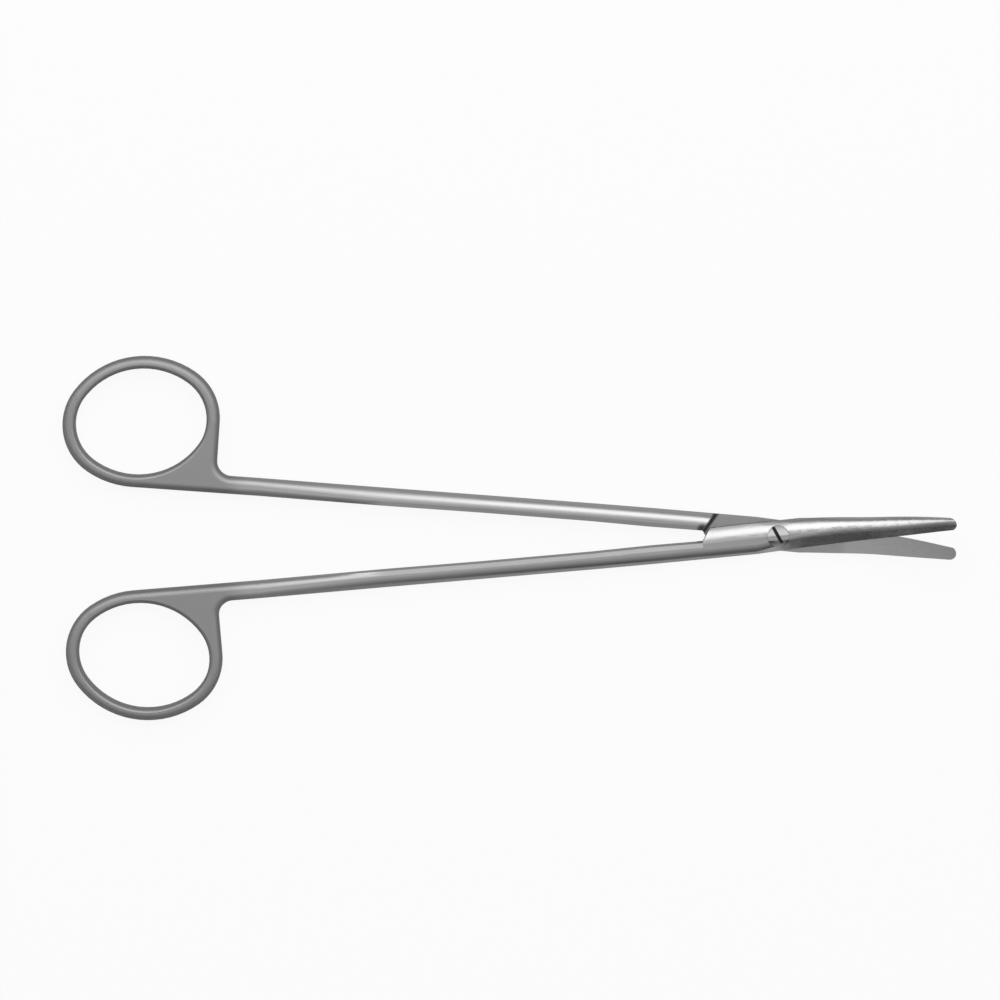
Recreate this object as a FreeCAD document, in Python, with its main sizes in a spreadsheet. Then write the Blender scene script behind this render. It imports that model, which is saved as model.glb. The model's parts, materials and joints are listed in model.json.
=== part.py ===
"""Curved dissecting scissors, 18 cm, with a screw lap joint.

Two forged halves cross at a slotted screw. Each half is one piece of steel: finger ring, shank,
half-thick joint and curved blade. Millimetres. Both halves are drawn alike, closed, in a frame of
their own: the pivot axis is Z through the origin, z = 0 is the plane between the halves, +X runs
to the tip and the half's own shank lies on the -Y side. The thumb half is then turned over.
"""
import FreeCAD
import Part
import math
import os
import re
import Sketcher

doc = FreeCAD.newDocument("dissecting_scissors")
vector = FreeCAD.Vector

# Driving sizes in millimetres and degrees, one named cell each
SIZES = {
    # Whole instrument
    "half_thick": 1.95,         # one half at the joint, and half the depth of shank and ring
    "rest_opening": 8.7,        # angle between the halves as the instrument lies
    # Finger rings
    "ring_back": 129.8,         # pivot to the middle of a ring, along the instrument
    "ring_side": 14.0,          # centreline of the closed instrument to the middle of a ring
    "ring_long": 31.8,          # outer length of a ring
    "ring_wide": 26.4,          # outer width of a ring
    "ring_end": 11.4,           # outer radius of its narrow ends
    "ring_lean": 13.0,          # how far a ring leans outwards
    "end_wall": 2.6,            # width of the ring's bar at its narrow ends
    "side_wall": 2.4,           # width of the bar along its flatter sides
    "ring_soft": 1.4,           # rounding of the bar's outer edges, and of the web
    "bow_soft": 0.9,            # rounding of the finger opening's edges, ground as three bevels
    "web_radius": 3.0,          # hollow between ring and shank on the outer side
    # Shank, at five places: the outer and the inner side off the centreline
    "shank_root": 106.0,        # pivot to where the shank leaves the web
    "root_out": 4.2,
    "shank_hind": 80.0,         # pivot to the sections before it, one by one
    "hind_out": 4.04,
    "hind_in": 0.61,
    "shank_middle": 60.0,
    "middle_out": 3.95,
    "middle_in": 0.61,
    "shank_fore": 38.0,
    "fore_out": 3.84,
    "fore_in": 0.45,
    "shank_front": 26.0,
    "front_out": 3.73,
    "front_in": 0.17,
    "stop_out": 3.57,
    "shank_in_front": 0.12,     # inner side of the shank at the stop
    "crown_across": 2.1,        # rounding of the outer edges of shank and joint, across
    "crown_down": 1.5,          # the same, in depth
    "fall_across": 0.9,         # shallow slope of the shank's faces to its inner edges, across
    "fall_down": 0.12,          # the same, in depth
    # Stop, where the nose of each half meets the shoulder of the other
    "stop_back": 15.3,          # pivot to the inner end of the stop line
    "stop_front": 13.2,         # pivot to the outer end of the stop line
    "stop_side": 3.45,          # outer end of the stop line, off the centreline
    "stop_gap": 0.06,           # clearance between nose and shoulder when closed
    # Joint
    "joint_middle": 4.5,        # pivot to the section halfway along the joint
    "joint_out": 3.4,           # outer side there
    "joint_in": 2.95,           # inner side there
    "nose_side": 2.6,           # inner side of the joint at its nose
    "shoulder_across": 2.9,     # round shoulder along the joint's inner side, across
    "shoulder_down": 1.1,       # the same, in depth
    "knee_across": 1.5,         # how far the crown runs before a flat slope goes on from it
    # Blade
    "blade_start": 4.5,         # pivot to the root of the blade
    "blade_neck": 8.0,          # pivot to the sections after it, one by one
    "blade_fore": 12.5,
    "blade_middle": 18.0,
    "blade_far": 25.5,
    "blade_late": 31.5,
    "blade_reach": 35.6,        # pivot to the tip
    "back_root": 3.2,           # back of the blade off the centreline, at the root and sections
    "back_neck": 3.0,
    "back_fore": 2.75,
    "back_middle": 2.4,
    "back_far": 2.15,
    "back_late": 1.85,
    "back_reach": 1.6,
    "edge_root": 2.85,          # cutting edge off the centreline, at the same places
    "edge_neck": 2.68,
    "edge_fore": 2.45,
    "edge_middle": 2.15,
    "edge_far": 1.7,
    "edge_late": 1.15,
    "edge_reach": 0.75,
    "neck_thick": 1.87,         # thickness of a blade at the sections
    "fore_thick": 1.81,
    "middle_thick": 1.7,
    "far_thick": 1.48,
    "late_thick": 1.22,
    "reach_thick": 1.0,
    "root_back_land": 0.45,     # upright side along the back, at the root
    "back_land": 0.5,           # the same along the rest of the blade
    "edge_land": 0.35,          # upright side above the cutting edge
    "ridge_root": -0.15,        # edge side of the flat ridge off the centreline, at the root
    "ridge_neck": 0.05,         # the same at the first section
    "ridge_side": 0.25,         # the same along the middle of the blade
    "ridge_tip": 0.6,           # the same at the last two sections
    "ridge_flat": 0.25,         # width of the ridge
    "ridge_across": 0.8,        # rounding from the ridge to the flat slope of the edge, across
    "ridge_down": 0.25,         # the same, in depth
    "tip_round": 1.3,           # rounding of the blunt tip
    "tip_back_in": 1.1,         # tip to where its rounding leaves the back
    "tip_back_side": 1.63,      # the same place, off the centreline
    "tip_edge_in": 0.55,        # tip to where its rounding meets the cutting edge
    "tip_edge_side": 0.71,      # the same place, off the centreline
    "curve_start": 8.0,         # pivot to where the blade starts to curve
    "curve_radius": 55.0,       # radius of the blade's curve
    # Running gaps between the halves
    "lap_gap": 0.05,            # between the flat laps
    "ride_radius": 6.6,         # reach of the flat lap round the screw
    "blade_gap": 0.2,           # between the hollow inner faces of the blades
    # Screw
    "head_radius": 2.2,         # head
    "head_depth": 1.15,         # height of the head
    "head_inner": 3.9,          # radius to which its top is ground towards the inner side
    "head_outer": 1.9,          # the same towards the outer side
    "neck_radius": 1.4,         # plain part, on which the finger half turns
    "tail_radius": 1.2,         # threaded part
    "screw_gap": 0.04,          # running gap round and under the head, and round the neck
    "thread_gap": 0.01,         # gap round the threaded part
    "slot_width": 0.65,         # slot
    "slot_depth": 0.55,         # depth of the slot
    "slot_angle": 119.0,        # direction of the slot from +X
}

sheet = doc.addObject("Spreadsheet::Sheet", "Sizes")
for row, (alias, size) in enumerate(SIZES.items(), start=1):
    sheet.set(f"A{row}", alias)
    sheet.set(f"B{row}", str(size))
    sheet.setAlias(f"B{row}", alias)
doc.recompute()

SPARE = 4                       # how far cutters reach past what they cut
CLOSE = 1e-3                    # lengths that differ by less count as equal
HOLLOW_SWEEP = 120              # angle of the turned cut behind a cutting edge, in degrees
BLADE_STAGES = ("neck", "fore", "middle", "far", "late", "reach")
RIDGES = {"neck": "ridge_neck", "late": "ridge_tip", "reach": "ridge_tip"}


def flank_radius(long_size, wide_size, end_radius):
    """Radius of the flatter sides of an oval made of four arcs."""
    return (f"((({long_size}/2 - {end_radius})^2 + ({wide_size}/2)^2 - {end_radius}^2)"
            f"/({wide_size} - 2*{end_radius}))")


def oval_corners(long_size, wide_size, end_radius):
    """Where the arcs of a ring's leaning oval meet, counter-clockwise from the upper left."""
    flank = flank_radius(long_size, wide_size, end_radius)
    along = f"({flank}*({long_size}/2 - {end_radius})/({flank} - {end_radius}))"
    across = f"({end_radius}*({flank} - {wide_size}/2)/({flank} - {end_radius}))"
    return [(f"(-ring_back + {x}*{along}*cos(ring_lean) + {y}*{across}*sin(ring_lean))",
             f"(-ring_side - {x}*{along}*sin(ring_lean) + {y}*{across}*cos(ring_lean))")
            for x, y in (("(-1)", 1), ("(-1)", "(-1)"), (1, "(-1)"), (1, 1))]


# Sizes that follow from the driving ones, written as expressions
RING_FLANK = flank_radius("ring_long", "ring_wide", "ring_end")
BOW = ("(ring_long - 2*end_wall)", "(ring_wide - 2*side_wall)", "(ring_end - side_wall)")
BOW_END = BOW[-1]
BOW_FLANK = flank_radius(*BOW)
BOW_BEVEL = "(bow_soft*(2 - sqrt(2)))"
BOW_CREASE = "(bow_soft*(tan(22.5) - tan(11.25)))"
WEB_X = "(-ring_back + (ring_long/2 - ring_end)*cos(ring_lean) + ring_end)"
WEB_LOW = "(-ring_side - (ring_long/2 - ring_end)*sin(ring_lean))"
TOP_X = f"(-ring_back - ({RING_FLANK} - ring_wide/2)*sin(ring_lean))"
TOP_Y = f"(-ring_side - ({RING_FLANK} - ring_wide/2)*cos(ring_lean) + {RING_FLANK})"
CROWN = "((crown_across^2 + crown_down^2)/(2*crown_down))"
KNEE_DOWN = f"({CROWN} - sqrt({CROWN}^2 - knee_across^2))"
STOP_SLOPE = "((stop_back - stop_front)/(stop_side - shank_in_front))"
NOSE_BACK = "(-stop_back + stop_gap)"

# Sections of the shank: place, outer and inner side, then the rounding of the outer edges and the
# slope or rounding of the inner edges, each across and in depth
SHANK_STAGES = (
    ("-shank_root", "root_out", f"(-{TOP_Y})", "ring_soft", "ring_soft", "ring_soft", "ring_soft"),
    *((f"-shank_{stage}", f"{stage}_out", f"{stage}_in", "crown_across", "crown_down",
       "fall_across", "fall_down") for stage in ("hind", "middle", "fore", "front")),
    (NOSE_BACK, "stop_out", "shank_in_front", "crown_across", "crown_down",
     "fall_across", "fall_down"),
)

# Sections of the joint: place, outer and inner side, depth of the round inner shoulder, edge of
# the flat top, rounding from there across and in depth, and height of the outer side
JOINT_STAGES = (
    (NOSE_BACK, "stop_out", "nose_side", "shoulder_down", "(crown_across - stop_out)",
     "knee_across", KNEE_DOWN, "(half_thick - crown_down)"),
    ("-joint_middle", "joint_out", "joint_in", "shoulder_down", "(crown_across - joint_out)",
     "knee_across", KNEE_DOWN, "(half_thick - crown_down)"),
    ("blade_start", "edge_root", "back_root", "(half_thick - root_back_land)", "ridge_root",
     "ridge_across", "ridge_down", "edge_land"),
)


def bound(text):
    """Point the size names of an expression at the sheet."""
    return re.sub(r"[a-z]+_[a-z_]+", lambda word: "Sizes." + word.group(), str(text))


def number(text):
    """The present value of an expression."""
    return float(sheet.evalExpression(bound(text)))


def rise(sign, place):
    """How far a blade's curve has left the lap plane at a distance from the pivot."""
    return f"({sign}*(curve_radius - sqrt(curve_radius^2 - ({place} - curve_start)^2)))"


def new_sketch(body, name, role, offset=None):
    """An empty sketch on one of the body's own planes, or moved along that plane's normal."""
    sketch = body.newObject("Sketcher::SketchObject", name)
    base = next(feature for feature in body.Origin.OriginFeatures if feature.Role == role)
    sketch.AttachmentSupport = [(base, "")]
    sketch.MapMode = "FlatFace"
    if offset is not None:
        sketch.setExpression("AttachmentOffset.Base.z", bound(offset))
    return sketch


def drive(sketch, name, text, *constraint):
    """Add a dimension and tie it to an expression."""
    kind, *places = constraint
    index = sketch.addConstraint(Sketcher.Constraint(kind, *places, number(text)))
    sketch.renameConstraint(index, name)
    sketch.setExpression(f"Constraints.{name}", bound(text))


def pin(sketch, point, across, up):
    """Fix a point of the sketch, a pair of geometry and vertex, at two expressions."""
    label = f"{point[0]}_{point[1]}"
    drive(sketch, f"across_{label}", across, "DistanceX", -1, 1, *point)
    drive(sketch, f"up_{label}", up, "DistanceY", -1, 1, *point)


def line(sketch, start, end):
    """A straight side between two places, and its two vertices in travel order."""
    index = sketch.addGeometry(Part.LineSegment(start, end), False)
    return (index, 1), (index, 2)


def arc(sketch, start, end, radius):
    """A round side; a positive radius bulges to the left of the direction of travel."""
    half = (end - start).Length / 2
    left = vector(start.y - end.y, end.x - start.x, 0).normalize()
    size = number(radius)
    sagitta = abs(size) - math.sqrt(size ** 2 - half ** 2)
    bulge = (start + end) * 0.5 + left * math.copysign(sagitta, size)
    index = sketch.addGeometry(Part.Arc(start, bulge, end), False)
    drive(sketch, f"radius_{index}", f"abs({radius})", "Radius", index)
    return ((index, 2), (index, 1)) if size > 0 else ((index, 1), (index, 2))


def outline(body, name, role, corners, arcs=(), offset=None):
    """A closed outline through corners, with arcs as {side: radius} where it isn't straight."""
    sketch = new_sketch(body, name, role, offset)
    points = [vector(number(across), number(up), 0) for across, up in corners]
    arcs = dict(arcs)
    sides = []
    for side, start in enumerate(points):
        end = points[(side + 1) % len(points)]
        sides.append(arc(sketch, start, end, arcs[side]) if side in arcs
                     else line(sketch, start, end))
    for side, corner in enumerate(corners):
        pin(sketch, sides[side][0], *corner)
        sketch.addConstraint(Sketcher.Constraint("Coincident", *sides[side - 1][1],
                                                 *sides[side][0]))
    doc.recompute()
    return sketch


def upright_axis(body):
    return next(feature for feature in body.Origin.OriginFeatures if feature.Role == "Z_Axis")


def pad(body, name, sketch, length):
    feature = body.newObject("PartDesign::Pad", name)
    feature.Profile = sketch
    feature.Midplane = True
    feature.setExpression("Length", bound(length))
    doc.recompute()
    return feature


def cut(body, kind, name, sketch, **settings):
    """A pocket or groove, which has to remove something."""
    before = body.Shape.Volume
    feature = body.newObject(f"PartDesign::{kind}", name)
    feature.Profile = sketch
    for setting, value in settings.items():
        if setting in ("Length", "Angle"):
            feature.setExpression(setting, bound(value))
        else:
            setattr(feature, setting, value)
    doc.recompute()
    if body.Shape.Volume > before - CLOSE:
        raise RuntimeError(f"{name} removed nothing from {body.Label}")
    return feature


def loft(body, name, sections, ruled):
    """Add solid through sections, in order: straight from one to the next, or one smooth sweep."""
    feature = body.newObject("PartDesign::AdditiveLoft", f"{body.Label}_{name}")
    feature.Profile = sections[0]
    feature.Sections = sections[1:]
    feature.Ruled = ruled
    doc.recompute()
    return feature


def edges_where(feature, test):
    """Names of a feature's edges that pass a test of their bounding box."""
    return [f"Edge{index}" for index, edge in enumerate(feature.Shape.Edges, start=1)
            if test(edge, edge.BoundBox)]


def flush(box, height):
    """Whether an edge lies in the upper or the lower face, that height off the middle plane."""
    return box.ZLength < CLOSE and abs(abs(box.ZMin) - height) < CLOSE


def round_edges(body, name, base, edges, radius):
    feature = body.newObject("PartDesign::Fillet", name)
    feature.Base = (base, edges)
    feature.setExpression("Radius", bound(radius))
    doc.recompute()
    return feature


def ring_rim(body):
    """Plan of the ring, the web and the root of the shank, counter-clockwise from the web."""
    upper_left, lower_left, lower_right, _ = oval_corners("ring_long", "ring_wide", "ring_end")
    corners = [
        (WEB_X, WEB_LOW),
        (WEB_X, "-root_out"),
        ("-shank_root", "-root_out"),
        ("-shank_root", TOP_Y),
        (TOP_X, TOP_Y),
        upper_left,
        lower_left,
        lower_right,
    ]
    rounds = {4: f"-{RING_FLANK}", 5: "-ring_end", 6: f"-{RING_FLANK}", 7: "-ring_end"}
    return outline(body, f"{body.Label}_ring_rim", "XY_Plane", corners, rounds)


def round_radius(across, down):
    """Radius of a round side that starts level and falls by down over across."""
    return f"(({across}^2 + {down}^2)/(2*{down}))"


def shank_section(body, index, stage):
    """Section across the shank; its inner edges are rounded at the web and sloped beyond it."""
    place, out, inner, across, down, inner_across, inner_down = stage
    crown = round_radius(across, down)
    rounds = {5: f"-{crown}", 7: f"-{crown}"}
    if index == 0:
        rounds |= {1: "-ring_soft", 3: "-ring_soft"}
    return outline(body, f"{body.Label}_shank_{index}", "YZ_Plane", [
        (f"-{out} + {across}", "-half_thick"),
        (f"-{inner} - {inner_across}", "-half_thick"),
        (f"-{inner}", f"-half_thick + {inner_down}"),
        (f"-{inner}", f"half_thick - {inner_down}"),
        (f"-{inner} - {inner_across}", "half_thick"),
        (f"-{out} + {across}", "half_thick"),
        (f"-{out}", f"half_thick - {down}"),
        (f"-{out}", f"-half_thick + {down}"),
    ], rounds, offset=place)


def joint_section(body, index, stage):
    """Section across the joint: crowned outer edges and a round shoulder along the inner one."""
    place, out, inner, drop, top_edge, across, down, land = stage
    return outline(body, f"{body.Label}_joint_{index}", "YZ_Plane", [
        (f"-{out} + crown_across", "-half_thick"),
        (inner, "-half_thick"),
        (inner, f"half_thick - {drop}"),
        (f"{inner} - shoulder_across", "half_thick"),
        (top_edge, "half_thick"),
        (f"{top_edge} - {across}", f"half_thick - {down}"),
        (f"-{out}", land),
        (f"-{out}", "-half_thick + crown_down"),
    ], {2: f"-{round_radius('shoulder_across', drop)}", 4: f"-{round_radius(across, down)}",
        7: f"-{CROWN}"}, offset=place)


def root_section(body):
    """Section where the blade leaves the joint, the same as the joint's upper half."""
    return outline(body, f"{body.Label}_root", "YZ_Plane", [
        ("-edge_root", "-half_thick/2"),
        ("back_root", "-half_thick/2"),
        ("back_root", "root_back_land"),
        ("back_root - shoulder_across", "half_thick"),
        ("ridge_root", "half_thick"),
        ("ridge_root - ridge_across", "half_thick - ridge_down"),
        ("-edge_root", "edge_land"),
    ], {2: f"-{round_radius('shoulder_across', '(half_thick - root_back_land)')}",
        4: f"-{round_radius('ridge_across', 'ridge_down')}"}, offset="blade_start")


def blade_section(body, stage, sign):
    """Section of the blade: round back, narrow flat ridge and a flat slope to the edge."""
    place, back, edge = f"blade_{stage}", f"back_{stage}", f"edge_{stage}"
    inner = rise(sign, place)
    top = f"({inner} + {stage}_thick)"
    ridge = RIDGES.get(stage, "ridge_side")
    back_round = round_radius(f"({back} - {ridge} - ridge_flat)", f"({stage}_thick - back_land)")
    return outline(body, f"{body.Label}_{stage}", "YZ_Plane", [
        (f"-{edge}", f"{inner} - half_thick/2"),
        (back, f"{inner} - half_thick/2"),
        (back, f"{inner} + back_land"),
        (f"{ridge} + ridge_flat", top),
        (ridge, top),
        (f"{ridge} - ridge_across", f"{top} - ridge_down"),
        (f"-{edge}", f"{inner} + edge_land"),
    ], {2: f"-{back_round}", 4: f"-{round_radius('ridge_across', 'ridge_down')}"}, offset=place)


def bevel_bow(body, name, base, steps, size):
    """Bevel the opening's edges that lie these steps down from the face and out from the wall."""
    rings = [(number(f"half_thick - {down}"), number(f"{radius} + {out}"))
             for down, out in steps for radius in (BOW_END, BOW_FLANK)]
    edges = edges_where(base, lambda edge, box: isinstance(edge.Curve, Part.Circle) and any(
        flush(box, height) and abs(edge.Curve.Radius - radius) < CLOSE
        for height, radius in rings))
    feature = body.newObject("PartDesign::Chamfer", name)
    feature.Base = (base, edges)
    feature.setExpression("Size", bound(size))
    doc.recompute()
    return feature


def make_half(name, curve_sign):
    body = doc.addObject("PartDesign::Body", name)
    body.Label = name
    thick = number("half_thick")

    # Ring and web, with rounded edges and the finger opening
    blank = pad(body, f"{name}_ring", ring_rim(body), "2*half_thick")
    corner = edges_where(blank, lambda edge, box: box.ZLength > thick
                         and abs(box.XMin - number(WEB_X)) < CLOSE
                         and abs(box.YMin + number("root_out")) < CLOSE)
    web = round_edges(body, f"{name}_web", blank, corner, "web_radius")
    rims = edges_where(web, lambda edge, box: flush(box, thick)
                       and box.XMin < -number("shank_root") - CLOSE)
    round_edges(body, f"{name}_ring_soft", web, rims, "ring_soft")
    bow_rim = outline(body, f"{name}_bow_rim", "XY_Plane", oval_corners(*BOW),
                      {0: f"-{BOW_END}", 1: f"-{BOW_FLANK}", 2: f"-{BOW_END}", 3: f"-{BOW_FLANK}"})
    bow = cut(body, "Pocket", f"{name}_bow", bow_rim, Type="ThroughAll", Midplane=True)
    bevel = bevel_bow(body, f"{name}_bow_bevel", bow, [("0", "0")], BOW_BEVEL)
    bevel_bow(body, f"{name}_bow_crease", bevel, [("0", BOW_BEVEL), (BOW_BEVEL, "0")], BOW_CREASE)

    # Shank, joint and blade, each lofted on from the piece behind it
    loft(body, "shank", [shank_section(body, index, stage)
                         for index, stage in enumerate(SHANK_STAGES)], ruled=True)
    loft(body, "joint", [joint_section(body, index, stage)
                         for index, stage in enumerate(JOINT_STAGES)], ruled=True)
    loft(body, "blade", [root_section(body)] + [blade_section(body, stage, curve_sign)
                                                for stage in BLADE_STAGES], ruled=False)

    # Nose, cut back along the stop line
    past = f"(nose_side - shank_in_front + {SPARE})"
    nose_rim = outline(body, f"{name}_nose_rim", "XY_Plane", [
        (NOSE_BACK, "shank_in_front"),
        (f"{NOSE_BACK} + {past}*{STOP_SLOPE}", f"shank_in_front + {past}"),
        (f"{NOSE_BACK} - {SPARE}", f"shank_in_front + {past}"),
        (f"{NOSE_BACK} - {SPARE}", "shank_in_front"),
    ])
    cut(body, "Pocket", f"{name}_nose", nose_rim, Type="ThroughAll", Midplane=True)

    # Lap: half of the joint gives way to the other half, up to the shoulder
    beyond = f"(stop_side + {SPARE})"
    lap_rim = outline(body, f"{name}_lap_rim", "XY_Plane", [
        ("-stop_back", beyond),
        ("-stop_back", "-shank_in_front"),
        (f"-stop_back + ({beyond} - shank_in_front)*{STOP_SLOPE}", f"-{beyond}"),
        (f"blade_start + {SPARE}", f"-{beyond}"),
        (f"blade_start + {SPARE}", beyond),
    ], offset="lap_gap/2")
    cut(body, "Pocket", f"{name}_lap", lap_rim, Length=f"2*half_thick + {SPARE}")

    # Hollow inner face of the blade, along its curve
    reach = f"(blade_reach + {SPARE})"
    below = f"(-2*half_thick - {rise(1, reach)})"
    side = "curve_radius" if curve_sign > 0 else "-curve_radius"
    hollow_rim = outline(body, f"{name}_hollow_rim", "XZ_Plane", [
        ("ride_radius", below),
        (reach, below),
        (reach, f"blade_gap/2 + {rise(curve_sign, reach)}"),
        ("curve_start", "blade_gap/2"),
        ("ride_radius", "blade_gap/2"),
    ], {2: side})
    cut(body, "Groove", f"{name}_hollow", hollow_rim, ReferenceAxis=(upright_axis(body), [""]),
        Angle=HOLLOW_SWEEP, Midplane=True)

    # Blunt round tip
    tip_rim = outline(body, f"{name}_tip_rim", "XY_Plane", [
        ("blade_reach - tip_back_in", "tip_back_side"),
        ("blade_reach - tip_edge_in", "-tip_edge_side"),
        ("blade_reach - tip_edge_in", f"-{SPARE}"),
        (f"blade_reach + {SPARE}", f"-{SPARE}"),
        (f"blade_reach + {SPARE}", SPARE),
        ("blade_reach - tip_back_in", SPARE),
    ], {0: "tip_round"})
    cut(body, "Pocket", f"{name}_tip", tip_rim, Type="ThroughAll", Midplane=True)
    return body


def turned(body, name, corners, kind, arcs=()):
    """Turn a profile in the XZ plane about the pivot axis."""
    profile = outline(body, f"{name}_profile", "XZ_Plane", corners, arcs)
    if kind == "Groove":
        return cut(body, kind, name, profile, ReferenceAxis=(upright_axis(body), [""]))
    feature = body.newObject(f"PartDesign::{kind}", name)
    feature.Profile = profile
    feature.ReferenceAxis = (upright_axis(body), [""])
    doc.recompute()
    return feature


# Places along the screw, measured from the lap plane, +Z towards the head
HEAD_SEAT = "(half_thick - head_depth)"
NECK_END = "(-lap_gap/2)"
TAIL_END = "(-half_thick)"


def make_finger_half():
    body = make_half("finger_half", 1)
    bore = "(neck_radius + screw_gap)"
    sink = "(head_radius + screw_gap)"
    turned(body, "finger_half_bore", [
        ("0", f"-{SPARE}"), (bore, f"-{SPARE}"), (bore, f"{HEAD_SEAT} - screw_gap"),
        (sink, f"{HEAD_SEAT} - screw_gap"), (sink, f"half_thick + {SPARE}"),
        ("0", f"half_thick + {SPARE}")], "Groove")
    return body


def make_thumb_half():
    """Drawn like the finger half, so its lap faces up here as well until it is turned over."""
    body = make_half("thumb_half", -1)
    hole = "(tail_radius + thread_gap)"
    turned(body, "thumb_half_thread", [
        ("0", f"-{SPARE}"), (hole, f"-{SPARE}"), (hole, f"half_thick + {SPARE}"),
        ("0", f"half_thick + {SPARE}")], "Groove")
    return body


def make_screw():
    """Turned screw with a slot, its head ground to the joint's shape as the instrument lies."""
    body = doc.addObject("PartDesign::Body", "pivot_screw")
    body.Label = "pivot_screw"
    turned(body, "pivot_screw_turned", [
        ("0", TAIL_END), ("tail_radius", TAIL_END), ("tail_radius", NECK_END),
        ("neck_radius", NECK_END), ("neck_radius", HEAD_SEAT), ("head_radius", HEAD_SEAT),
        ("head_radius", "half_thick"), ("0", "half_thick")], "Revolution")

    past = "(head_radius + screw_gap)"
    inner_edge = "((joint_in + back_root)/2 - shoulder_across)"
    outer_edge = "((crown_across - joint_out + ridge_root)/2)"
    inner_drop = f"(head_inner - sqrt(head_inner^2 - ({past} - {inner_edge})^2))"
    outer_drop = f"(head_outer - sqrt(head_outer^2 - ({past} + {outer_edge})^2))"
    ground = outline(body, "pivot_screw_ground", "YZ_Plane", [
        (outer_edge, "half_thick"), (inner_edge, "half_thick"),
        (past, f"half_thick - {inner_drop}"), (past, f"half_thick + {SPARE}"),
        (f"-{past}", f"half_thick + {SPARE}"), (f"-{past}", f"half_thick - {outer_drop}"),
    ], {1: "-head_inner", 5: "-head_outer"})
    ground.AttachmentOffset = FreeCAD.Placement(vector(), FreeCAD.Rotation(vector(0, 1, 0), 1))
    ground.setExpression("AttachmentOffset.Rotation.Angle", bound("rest_opening/2"))
    cut(body, "Pocket", "pivot_screw_grinding", ground, Type="ThroughAll", Midplane=True)

    past = "head_radius + slot_width"
    slot = outline(body, "pivot_screw_slot_rim", "XY_Plane", [
        (f"-({past})", "-slot_width/2"), (past, "-slot_width/2"),
        (past, "slot_width/2"), (f"-({past})", "slot_width/2")], offset="half_thick")
    slot.setExpression("AttachmentOffset.Rotation.Angle", bound("slot_angle"))
    cut(body, "Pocket", "pivot_screw_slot", slot, Length="slot_depth")
    return body


finger_half = make_finger_half()
thumb_half = make_thumb_half()
pivot_screw = make_screw()

# Lay the pieces together: resting plane at z = 0, jaws a little open, thumb half turned over.
# Half a turn about an axis in the lap plane, a quarter of the opening off X, does both at once.
for piece in (finger_half, thumb_half, pivot_screw):
    piece.setExpression("Placement.Base.z", bound("half_thick"))
finger_half.setExpression("Placement.Rotation.Angle", bound("rest_opening/2"))
thumb_half.setExpression("Placement.Rotation.Axis.x", bound("cos(rest_opening/4)"))
thumb_half.setExpression("Placement.Rotation.Axis.y", bound("-sin(rest_opening/4)"))
thumb_half.setExpression("Placement.Rotation.Axis.z", "0")
thumb_half.setExpression("Placement.Rotation.Angle", "180")
doc.recompute()

for item in doc.Objects:
    if any(flag in item.State for flag in ("Invalid", "Error")):
        raise RuntimeError(f"{item.Label} failed: {item.State}")

os.makedirs("parts", exist_ok=True)
for piece in (finger_half, thumb_half, pivot_screw):
    shape = piece.Shape
    if shape.isNull() or not shape.isValid() or len(shape.Solids) != 1:
        raise RuntimeError(f"{piece.Label} isn't one valid solid")
    shape.exportStep(f"parts/{piece.Label}.step")
    box = shape.optimalBoundingBox()
    print(f"{piece.Label}: {shape.Volume:.1f} mm3, x {box.XMin:.2f} to {box.XMax:.2f}, "
          f"y {box.YMin:.2f} to {box.YMax:.2f}, z {box.ZMin:.2f} to {box.ZMax:.2f}")
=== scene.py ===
# %% [markdown]
# Dissecting scissors: two forged halves of stainless steel that turn on a slotted screw.
# The shapes are finished in the construction model, so this lesson is about finish and light.
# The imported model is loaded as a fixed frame. Its three pieces keep their meshes and their places,
# and only get materials, which keeps every view and every pose true to the real mechanism.

# %% Load the construction model
import json
import math

import bpy
from mathutils import Matrix, Vector


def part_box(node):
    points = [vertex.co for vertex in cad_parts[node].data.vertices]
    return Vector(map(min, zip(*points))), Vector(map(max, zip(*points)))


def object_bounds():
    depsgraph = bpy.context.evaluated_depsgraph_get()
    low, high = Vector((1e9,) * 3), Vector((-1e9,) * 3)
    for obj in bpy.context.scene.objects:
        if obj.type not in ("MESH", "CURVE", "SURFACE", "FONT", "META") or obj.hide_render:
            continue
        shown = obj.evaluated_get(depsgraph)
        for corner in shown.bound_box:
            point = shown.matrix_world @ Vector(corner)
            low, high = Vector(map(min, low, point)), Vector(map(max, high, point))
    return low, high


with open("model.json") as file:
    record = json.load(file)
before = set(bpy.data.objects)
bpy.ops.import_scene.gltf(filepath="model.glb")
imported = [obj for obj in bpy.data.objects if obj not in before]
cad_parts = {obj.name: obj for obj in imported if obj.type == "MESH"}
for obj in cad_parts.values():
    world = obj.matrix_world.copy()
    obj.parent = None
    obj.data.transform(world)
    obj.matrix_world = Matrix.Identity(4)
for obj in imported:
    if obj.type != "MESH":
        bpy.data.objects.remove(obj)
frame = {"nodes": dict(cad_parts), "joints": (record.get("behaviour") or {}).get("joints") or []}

MM = 0.001
cad_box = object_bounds()
lowest, highest = (Vector(corner) for corner in cad_box)
print("pieces:", sorted(frame["nodes"]))
print("size in mm:", [round(side / MM, 1) for side in highest - lowest])

# %% [markdown]
# A finish is a recipe of numbers that change over the surface. It could be laid out as a web of
# Math nodes, but a sum is easier to read. A small class wraps a socket and lets Python's own signs
# add the Math nodes, so that 1 - mask works as well as mask - 1.

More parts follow.
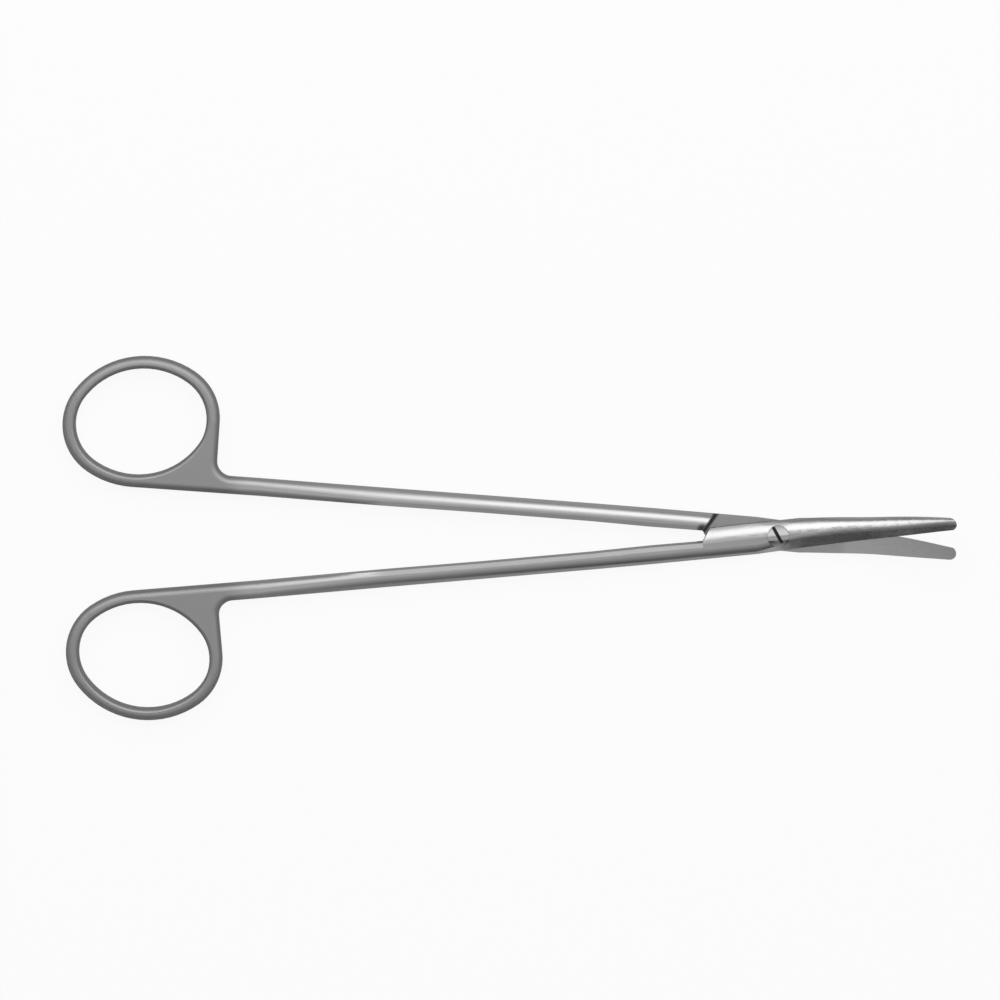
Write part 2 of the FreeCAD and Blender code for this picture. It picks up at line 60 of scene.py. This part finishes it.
# %% A class for shader maths
class Wire:
    """One output socket in a node tree, which can be used in a sum."""

    def __init__(self, tree, socket):
        self.tree = tree
        self.socket = socket

    def maths(self, operation, first, second):
        return add_node(self.tree, "ShaderNodeMath", {"operation": operation},
                        {0: first, 1: second})

    def __add__(self, other):
        return self.maths("ADD", self, other)

    def __radd__(self, other):
        return self.maths("ADD", other, self)

    def __sub__(self, other):
        return self.maths("SUBTRACT", self, other)

    def __rsub__(self, other):
        return self.maths("SUBTRACT", other, self)

    def __neg__(self):
        return self.maths("SUBTRACT", 0.0, self)

    def __mul__(self, other):
        return self.maths("MULTIPLY", self, other)

    def __rmul__(self, other):
        return self.maths("MULTIPLY", other, self)

    def __truediv__(self, other):
        return self.maths("DIVIDE", self, other)

    def __abs__(self):
        return self.maths("ABSOLUTE", self, 0.0)


print("sums of", Wire.__name__, "objects add Math nodes")

# %% [markdown]
# Every other node comes from one method. It sets the node's choices before its sockets, because a
# choice can change what a socket means. The few kinds that come back often get a short name.

# %% One method for the other nodes
def add_node(tree, kind, settings=None, sockets=None, output=0):
    """Add a node, set its choices, then fill or link its sockets, and hand back one output."""
    node = tree.nodes.new(kind)
    for name, choice in (settings or {}).items():
        setattr(node, name, choice)
    for name, value in (sockets or {}).items():
        if isinstance(value, Wire):
            tree.links.new(value.socket, node.inputs[name])
        else:
            node.inputs[name].default_value = value
    return Wire(tree, node.outputs[output])


def vector(tree, x, y, z):
    return add_node(tree, "ShaderNodeCombineXYZ", sockets={0: x, 1: y, 2: z})


def parts_of(tree, wire):
    """The three numbers of a vector."""
    node = add_node(tree, "ShaderNodeSeparateXYZ", sockets={0: wire}).socket.node
    return [Wire(tree, socket) for socket in node.outputs]


def length_of(tree, x, y):
    return add_node(tree, "ShaderNodeVectorMath", {"operation": "LENGTH"},
                    {0: vector(tree, x, y, 0.0)}, output=1)


def smooth_step(tree, value, start, end):
    """0 before start, 1 after end, and a smooth rise between them."""
    return add_node(tree, "ShaderNodeMapRange", {"interpolation_type": "SMOOTHSTEP"},
                    {"Value": value, "From Min": start, "From Max": end})


def mix_numbers(tree, share, first, second):
    """first where share is 0, second where it is 1."""
    return add_node(tree, "ShaderNodeMix", {"data_type": "FLOAT"}, {0: share, 2: first, 3: second})


print("nodes are added by", add_node.__name__)

# %% [markdown]
# A material in Blender starts as one Principled surface. It could be built up from single shaders,
# but this one already holds metal, roughness and relief together. A piece of the construction
# model has its own material slot, and the finished material takes that place.

# %% Materials on pieces
def new_material(name):
    """An empty material with a Principled surface, and the surface's node."""
    material = bpy.data.materials.new(name)
    material.use_nodes = True
    return material, material.node_tree.nodes["Principled BSDF"]


def feed(surface, socket, wire):
    """Link a wire to one of the surface's own sockets."""
    surface.id_data.links.new(wire.socket, surface.inputs[socket])


def dress(node, material):
    """Give a construction piece its material, on every slot that it has."""
    mesh = frame["nodes"][node].data
    mesh.materials.clear()
    mesh.materials.append(material)
    print(node, "wears", material.name, "on", len(mesh.polygons), "faces")


print("pieces to dress:", len(frame["nodes"]))

# %% [markdown]
# Each half is easiest to describe closed and lying along X, with its ring on one side. Object
# coordinates stay with a piece at every pose, so turning them by half the opening gives that frame
# once and for all. World coordinates would let the scratches swim as the jaws move. The places
# that the loaded frame doesn't name are repeated here from the construction model.

# %% A half's own frame
RING_BACK = 129.8 * MM          # screw to the middle of a ring, along the instrument
RING_SIDE = 14.0 * MM           # centreline to the middle of a ring
LAP_HEIGHT = 1.95 * MM          # table to the flat laps between the halves

opening = -math.radians(frame["joints"][0]["range_deg"][0])


def own_position(tree, side):
    """Position in the frame of one half, closed and along X; side is -1 or 1 for its ring."""
    place = add_node(tree, "ShaderNodeTexCoord", output=3)
    turned = add_node(tree, "ShaderNodeVectorRotate", {"rotation_type": "Z_AXIS"},
                      {"Vector": place, "Angle": side * opening / 2})
    return parts_of(tree, turned)


print("jaws open at rest, in degrees:", round(math.degrees(opening), 2))

# %% [markdown]
# A ground finish is made of fine parallel scratches. One way would be an image of scratches, but
# that shows its seams and its repeats. A noise whose cells are long in the grinding direction and
# a tenth of a millimetre wide across it has neither, and it holds up close to the camera.

# %% Noise in streaks
SCRATCH_LENGTH = 18.0 * MM
SCRATCH_WIDTH = 0.10 * MM
BAR_CELLS = 2.4                 # noise cells to a radian round the bar of a ring
ARC_LENGTH = 9.0 * MM
ARC_WIDTH = 0.14 * MM
GRAIN = 0.6                     # how much the finer layers of a noise count
NOISE_MIDDLE = 0.5              # a noise runs from 0 to 1, and is mostly near this


def noise(tree, place, detail=2.0):
    return add_node(tree, "ShaderNodeTexNoise", {"normalize": True},
                    {"Vector": place, "Scale": 1.0, "Detail": detail, "Roughness": GRAIN})


def grind_noise(tree, along, across, up, length, width):
    """Noise in streaks of a given length and width, in metres."""
    return noise(tree, vector(tree, along / length, across / width, up / width))


print("length of a scratch to its width:", round(SCRATCH_LENGTH / SCRATCH_WIDTH))

# %% [markdown]
# The grinder ran lengthwise on shanks and blades, and round the bar on the rings, and the flat laps
# have rubbed arcs into each other round the screw. So there are three noises, one along X, one in
# the polar coordinates of the ring and one in those of the screw, and two masks choose among them.

# %% Which way the scratches run
def scratches(tree, x, y, z, side, on_ring, on_lap):
    """Streaks along the half, round the bar of its ring, and round the screw on the lap."""
    ring_x = x + RING_BACK
    ring_y = y - side * RING_SIDE
    ring_radius = length_of(tree, ring_x, ring_y)
    straight = grind_noise(tree, x, y, z, SCRATCH_LENGTH, SCRATCH_WIDTH)
    round_bar = noise(tree, vector(tree, ring_x / ring_radius * BAR_CELLS,
                                   ring_y / ring_radius * BAR_CELLS, ring_radius / SCRATCH_WIDTH))
    round_screw = noise(tree, vector(tree, x / ARC_LENGTH, y / ARC_LENGTH,
                                     length_of(tree, x, y) / ARC_WIDTH))
    return mix_numbers(tree, on_lap, mix_numbers(tree, on_ring, straight, round_bar), round_screw)


print("directions of grinding:", ["along the half", "round the bar", "round the screw"])

# %% [markdown]
# The finish isn't the same all over. The laps are duller where they rub, and the wheel reaches top
# and bottom faces better than upright sides, which are rougher; the upright sides are also darkened
# with painted shade. Each region could be a material of its own with a hard border, but one material
# with soft masks gives the gradual change that grinding leaves.

# %% Where the finishes lie
LAP_REACH = 18.0 * MM           # screw to the end of the rubbed lap
LAP_FADE = 5.0 * MM
LAP_TOUCH = 0.1 * MM            # a face this near to the lap's plane is lap
LAP_CLEAR = 0.3 * MM            # and one this far off it isn't
SIDE_TILT = 0.55                # upward share of the normal on a side
FLAT_TILT = 0.95                # the same on a flat


def lap_mask(tree, x, y, off_lap):
    """1 on the flat lap round the screw and on the faces that it rubs."""
    near_screw = smooth_step(tree, LAP_REACH - length_of(tree, x, y), 0.0, LAP_FADE)
    return near_screw * (1 - smooth_step(tree, abs(off_lap), LAP_TOUCH, LAP_CLEAR))


def uprightness(tree):
    """1 on upright sides and 0 on faces that look up or down."""
    facing = parts_of(tree, add_node(tree, "ShaderNodeTexCoord", output=1))[2]
    return 1 - smooth_step(tree, abs(facing), SIDE_TILT, FLAT_TILT)


print("the lap's finish ends, in mm from the screw:", round(LAP_REACH / MM, 1))

# %% [markdown]
# Each half has a slanted shoulder at which the nose of the other half stops. The corner under it
# and the gap before the nose lie in shade, and that shade is painted into the steel's colour as a
# dark band along the shoulder and a dark blot at the line's inner end, the darkest mark on the
# scissors. The mask is worked out from the distance to the stop line and to the line's inner end,
# so it follows the shoulder and needs no image drawn by hand.

# %% Painted shade under the shoulder
STOP_BACK = 15.3 * MM           # screw to the inner end of the stop line
STOP_SLOPE = 0.63               # how much further forward the line gets per length outwards
SHADE_BAND_WIDTH = 1.2 * MM
SHADE_BAND_EDGE = (-0.55 * MM, -0.10 * MM)    # it fades in just behind the line
SHADE_BAND_FOOT = (-0.3 * MM, -0.1 * MM)      # it starts at the height of the lap
SHADE_BAND_TOP = (1.7 * MM, 3.0 * MM)         # and fades out up the shoulder
# the next three place a blot of painted shade at the inner end of the line
CORNER_BACK = 0.1 * MM          # the blot at the inner end of the line
CORNER_SIDE = 0.4 * MM
CORNER_REACH = (0.6 * MM, 1.4 * MM)


def painted_corner_shade(tree, x, y, off_lap, side):
    """1 where shade is painted into the corner under a half's shoulder."""
    past_stop = x + STOP_BACK - side * STOP_SLOPE * y
    from_corner = length_of(tree, x + STOP_BACK + CORNER_BACK, y - side * CORNER_SIDE)
    along_stop = (smooth_step(tree, past_stop, *SHADE_BAND_EDGE)
                  * (1 - smooth_step(tree, past_stop, 0.5 * SHADE_BAND_WIDTH, SHADE_BAND_WIDTH)))
    at_corner = 1 - smooth_step(tree, from_corner, *CORNER_REACH)
    return (along_stop.maths("MAXIMUM", along_stop, at_corner)
            * smooth_step(tree, off_lap, *SHADE_BAND_FOOT)
            * (1 - smooth_step(tree, off_lap, *SHADE_BAND_TOP)))


print("width of the skin in mm:", round(SHADE_BAND_WIDTH / MM, 2))

# %% [markdown]
# The steel is neutral grey and fully metallic, so its colour is the share of light that it mirrors.
# A relief of a few hundredths of a millimetre could be real geometry, at millions of faces, but a
# Bump node tilts the light in the same way. Seen edge-on, even dull steel shines like a mirror, and
# the specular tint holds that back a little, as the grinding marks do on the real piece.

# %% Grey metal
STEEL = 0.56                    # share of the light that bare steel mirrors
EDGE_ON = (0.5, 0.5, 0.5, 1.0)
RELIEF = 0.02 * MM


def grey_metal(surface, tree, shade, roughness, relief, depth):
    """Metal of the given lightness and roughness, with a fine relief."""
    grey = shade * STEEL
    feed(surface, "Base Color", vector(tree, grey, grey, grey))
    feed(surface, "Roughness", roughness)
    feed(surface, "Normal", add_node(tree, "ShaderNodeBump", sockets={
        "Strength": depth, "Distance": RELIEF, "Height": relief}))
    surface.inputs["Metallic"].default_value = 1.0
    surface.inputs["Specular Tint"].default_value = EDGE_ON


print("steel mirrors this share of the light:", STEEL)

# %% [markdown]
# Satin ground steel has scratches, broader bands from passes of the wheel, and cloudy changes from
# handling. All three change its lightness a little and its roughness rather more, because that is
# what spreads a highlight. The blades are ground finest, and the shanks get coarser and darker
# towards the rings, which softens their bright band there as in the photograph.

# %% How satin steel varies
SATIN = 0.35                    # roughness of the ground finish
GROUND = 0.90                   # lightness before the marks add theirs
MARK_SHADE = {"streaks": 0.06, "bands": 0.10, "clouds": 0.06}
MARK_ROUGHNESS = {"streaks": 0.20, "bands": 0.10, "clouds": 0.10}
BAND_LENGTH, BAND_WIDTH = 30.0 * MM, 0.5 * MM
CLOUD_LENGTH, CLOUD_WIDTH = 9.0 * MM, 6.0 * MM
BAND_RELIEF = 0.8
SCRATCH_DEPTH = 0.10

# rings and laps have their own duller tone; the side and corner values are painted shade
RING_SHADE, LAP_SHADE, SIDE_PAINTED_SHADE, CORNER_PAINTED_SHADE = 0.77, 0.84, 0.57, 0.14
SIDE_COARSER, CORNER_COARSER, HANDLE_COARSER, BLADE_FINER = 0.06, 0.20, 0.24, 0.09
RING_RANGE = (107.0 * MM, 113.0 * MM)       # behind the screw, where the web turns into the ring
HANDLE_RANGE = (40.0 * MM, 122.0 * MM)      # behind the screw, where the finish gets coarser
BLADE_RANGE = (-25.0 * MM, 15.0 * MM)       # along X from the screw, where it gets finer

print("roughness from blade to handle:", round(SATIN - BLADE_FINER, 2),
      "to", round(SATIN + HANDLE_COARSER, 2))

# %% [markdown]
# The recipe is put together once, for both halves, and only the side of the ring differs. The
# marks come first, then each region darkens what is there, and the painted shade under the shoulder
# comes last because it hides them all. Two materials written out by hand would soon drift apart.

# %% Satin ground steel
def satin_steel(name, side):
    material, surface = new_material(name)
    tree = material.node_tree
    x, y, z = own_position(tree, side)
    off_lap = (z - LAP_HEIGHT) * side
    on_ring = smooth_step(tree, -x, *RING_RANGE)
    on_lap = lap_mask(tree, x, y, off_lap)
    upright = uprightness(tree)
    painted_shade = painted_corner_shade(tree, x, y, off_lap, side)

    marks = {
        "streaks": scratches(tree, x, y, z, side, on_ring, on_lap),
        "bands": grind_noise(tree, x, y, z, BAND_LENGTH, BAND_WIDTH),
        "clouds": noise(tree, vector(tree, x / CLOUD_LENGTH, y / CLOUD_WIDTH, z / CLOUD_WIDTH),
                        detail=3.0),
    }
    shade, roughness = GROUND, SATIN
    for mark, wire in marks.items():
        shade = shade + wire * MARK_SHADE[mark]
        roughness = roughness + (wire - NOISE_MIDDLE) * MARK_ROUGHNESS[mark]
    # on upright sides the darkening is painted shade; rings and laps get their own duller tone
    for mask, darker in ((on_ring, RING_SHADE), (on_lap, LAP_SHADE), (upright, SIDE_PAINTED_SHADE)):
        shade = mix_numbers(tree, mask, shade, shade * darker)
    # painted shade: the corner under the shoulder is darkened in the colour, over all the marks
    shade = mix_numbers(tree, painted_shade, shade, CORNER_PAINTED_SHADE)
    roughness = (roughness + upright * SIDE_COARSER
                 - smooth_step(tree, x, *BLADE_RANGE) * BLADE_FINER
                 + smooth_step(tree, -x, *HANDLE_RANGE) * HANDLE_COARSER + painted_shade * CORNER_COARSER)
    grey_metal(surface, tree, shade, roughness, marks["streaks"] + marks["bands"] * BAND_RELIEF,
               SCRATCH_DEPTH)
    return material


dress("finger_half", satin_steel("satin_steel_finger", -1))
dress("thumb_half", satin_steel("satin_steel_thumb", 1))

# %% [markdown]
# The screw is turned on a lathe, so its marks are rings about its own axis. They come from a noise
# of the distance from the axis, which gives circles however far the piece is turned. The slot is
# sawn and never polished, so its floor is rougher, and the shade down in the slot is painted into
# its colour as a dark floor. Height alone would also catch the head's ground-down rim, so the mask
# asks for the place across the slot as well.

# %% Turned screw
TURNED = 0.44                   # roughness of the turned face
TURNED_SHADE = 0.88
TURNED_DEPTH = 0.15
MARK_WIDTH = 0.09 * MM
RING_MARKS = {"shade": 0.08, "roughness": 0.12}
SLOT_ANGLE = math.radians(119.0)
SLOT_WIDTH = 0.65 * MM
SLOT_FLOOR = 3.35 * MM          # over the table
SLOT_SIDES = (0.50 * SLOT_WIDTH, 0.56 * SLOT_WIDTH)
SLOT_FOOT = (SLOT_FLOOR - 0.06 * MM, SLOT_FLOOR - 0.02 * MM)
# the slot's floor is darkened to this with painted shade
SLOT_PAINTED_SHADE = 0.14
SLOT_COARSER = 0.3


def slot_mask(tree, x, y, z):
    """1 inside the slot, from just under its floor."""
    across = abs(x * math.sin(SLOT_ANGLE) - y * math.cos(SLOT_ANGLE))
    return (1 - smooth_step(tree, across, *SLOT_SIDES)) * smooth_step(tree, z, *SLOT_FOOT)


def turned_steel(name):
    material, surface = new_material(name)
    tree = material.node_tree
    x, y, z = parts_of(tree, add_node(tree, "ShaderNodeTexCoord", output=3))
    marks = add_node(tree, "ShaderNodeTexNoise", {"noise_dimensions": "1D", "normalize": True},
                     {"W": length_of(tree, x, y) / MARK_WIDTH, "Scale": 1.0, "Detail": 2.0})
    in_slot = slot_mask(tree, x, y, z)
    # the screw's upright sides get the same painted shade as the halves
    shade = mix_numbers(tree, uprightness(tree), TURNED_SHADE + marks * RING_MARKS["shade"],
                        SIDE_PAINTED_SHADE)
    # painted shade: the slot's floor is darkened in its colour
    shade = mix_numbers(tree, in_slot, shade, SLOT_PAINTED_SHADE)
    roughness = TURNED + marks * RING_MARKS["roughness"] + in_slot * SLOT_COARSER
    grey_metal(surface, tree, shade, roughness, marks, TURNED_DEPTH)
    return material


dress("pivot_screw", turned_steel("turned_steel"))

# %% [markdown]
# The camera looks down on the table, leaning a little to the thumb's side. It could be moved by
# hand until the picture fits. Here its place is worked out from one point that is sharp in the
# photograph, the middle of the screw's head, and from how many picture points a millimetre covers.
# A long lens far away keeps the shape free of distortion.

# %% Camera
PHOTO_SIDE = 1000
POINTS_PER_MM = 4.956
HEAD_POINT = (778.3, 536.6)
LEAN = math.radians(7.0)
ROLL = math.radians(0.3)
CAMERA_DISTANCE = 1.1
VIEW_REACH = 100.0

head_top = Vector((0.0, 0.0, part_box("pivot_screw")[1].z))
backward = Vector((0.0, math.sin(LEAN), math.cos(LEAN)))
level_right = Vector((math.cos(ROLL), -math.sin(ROLL), 0.0))
right = (level_right - backward * level_right.dot(backward)).normalized()
upward = backward.cross(right)
point = MM / POINTS_PER_MM
aim = (head_top - right * (HEAD_POINT[0] - PHOTO_SIDE / 2) * point
       + upward * (HEAD_POINT[1] - PHOTO_SIDE / 2) * point)

camera_data = bpy.data.cameras.new("camera")
camera = bpy.data.objects.new("camera", camera_data)
bpy.context.scene.collection.objects.link(camera)
camera.matrix_world = Matrix.Translation(aim + backward * CAMERA_DISTANCE) @ Matrix(
    (right, upward, backward)).transposed().to_4x4()
camera_data.lens = camera_data.sensor_width * CAMERA_DISTANCE / (PHOTO_SIDE * point)
camera_data.clip_end = VIEW_REACH
bpy.context.scene.camera = camera
print("lens in mm:", round(camera_data.lens, 1))

# %% [markdown]
# Polished metal is drawn by what it mirrors. One wide soft lamp beyond the thumb's side gives the
# bright band along every face that leans that way. A row of small lamps would show as spots, and a
# wide one gives a band without a break from the rings to the tips.

# %% Soft lamp
LAMP_REACH = 0.5                # distance from the object
KEY_GLOW = 1.34                 # brightness of the lamp's face, where 1 is white
KEY_LEAN = 37.0                 # degrees from upright, towards the thumb's side
KEY_MIDDLE = -0.06
KEY_WIDTH = 0.88
KEY_DEPTH = 0.40


def soft_lamp(name, lean_degrees, middle_x, width, depth, glow):
    """A lamp over the object, leant towards +Y, with the same brightness all over its face."""
    lamp_data = bpy.data.lights.new(name, "AREA")
    lamp_data.shape = "RECTANGLE"
    lamp_data.size = width
    lamp_data.size_y = depth
    lamp_data.energy = glow * width * depth * math.pi
    lamp = bpy.data.objects.new(name, lamp_data)
    bpy.context.scene.collection.objects.link(lamp)
    lean = math.radians(lean_degrees)
    away = Vector((0.0, math.sin(lean), math.cos(lean)))
    side = Vector((1.0, 0.0, 0.0))
    lamp.matrix_world = Matrix.Translation(Vector((middle_x, 0.0, 0.0)) + away * LAMP_REACH) @ (
        Matrix((side, away.cross(side), away)).transposed().to_4x4())
    return lamp


key_lamp = soft_lamp("key_lamp", KEY_LEAN, KEY_MIDDLE, KEY_WIDTH, KEY_DEPTH, KEY_GLOW)
print(key_lamp.name, "in watts:", round(key_lamp.data.energy, 2))

# %% [markdown]
# The flat faces mirror the room overhead, so the room glows a little by itself. Its glow falls
# towards the finger's side, which gives the dark band under shanks and blades, a little towards
# the rings, and towards the horizon. Black cards round the object would do the same in a studio,
# but here they would show in other views, and a change in the world's colour doesn't.

# %% Room
ROOM_GLOW = 0.56
FRONT_FALL = 0.48
HANDLE_FALL = 0.16
HORIZON_SHARE = 0.40            # what is left of the glow at the horizon
HORIZON_TOP = 0.5               # upward share of a direction from which the glow is whole

world = bpy.data.worlds.new("room")
bpy.context.scene.world = world
world.use_nodes = True
room = world.node_tree
sideways, toward, up = parts_of(room, add_node(room, "ShaderNodeTexCoord", output=0))
front_side = toward.maths("MINIMUM", toward, 0.0)
handle_side = sideways.maths("MINIMUM", sideways, 0.0)
above_horizon = smooth_step(room, up, 0.0, HORIZON_TOP)
glow = (ROOM_GLOW + front_side * FRONT_FALL + handle_side * HANDLE_FALL) * (
    HORIZON_SHARE + (1 - HORIZON_SHARE) * above_horizon)
background = room.nodes["Background"]
room.links.new(vector(room, glow, glow, glow).socket, background.inputs["Color"])
front_glow = (ROOM_GLOW - FRONT_FALL) * HORIZON_SHARE
print("glow from above:", ROOM_GLOW, "and level from the front:", round(front_glow, 3))

# %% [markdown]
# The scissors lie on a plain white sheet. A curved backdrop could hide the horizon, but the camera
# looks down, so one flat square that reaches far past every view is enough.

# %% Table
TABLE_HALF = 12.0

table_mesh = bpy.data.meshes.new("table")
corners = [(-TABLE_HALF, -TABLE_HALF, 0.0), (TABLE_HALF, -TABLE_HALF, 0.0),
           (TABLE_HALF, TABLE_HALF, 0.0), (-TABLE_HALF, TABLE_HALF, 0.0)]
table_mesh.from_pydata(corners, [], [(0, 1, 2, 3)])
table = bpy.data.objects.new("table", table_mesh)
bpy.context.scene.collection.objects.link(table)
print("table reaches", TABLE_HALF, "m each way")

# %% [markdown]
# More light would make the sheet white, but it would burn out the steel as well. So most of its
# white is given to what the camera and the metal see of it, with Light Path, and the rest is lit
# by the lamp and the room, which keeps the object's soft shadow.

# %% White sheet
WHITE = (0.93, 0.93, 0.93, 1.0)
SHEET_ROUGHNESS = 0.9
SELF_LIT = 0.92                 # share of the white that needs no lamp


def white_sheet(name):
    material, surface = new_material(name)
    tree = material.node_tree
    surface.inputs["Base Color"].default_value = WHITE
    surface.inputs["Roughness"].default_value = SHEET_ROUGHNESS
    path = tree.nodes.new("ShaderNodeLightPath")
    seen = Wire(tree, path.outputs["Is Camera Ray"])
    for ray in ("Is Glossy Ray", "Is Transmission Ray"):
        seen = seen + Wire(tree, path.outputs[ray])
    glowing = add_node(tree, "ShaderNodeEmission", sockets={"Color": (1.0, 1.0, 1.0, 1.0)})
    mixed = add_node(tree, "ShaderNodeMixShader", sockets={
        0: seen * SELF_LIT, 1: Wire(tree, surface.outputs[0]), 2: glowing})
    tree.links.new(mixed.socket, tree.nodes["Material Output"].inputs["Surface"])
    return material


table_mesh.materials.append(white_sheet("white_sheet"))
bpy.context.scene.view_settings.view_transform = "Standard"
print("colours are shown by the transform", bpy.context.scene.view_settings.view_transform)
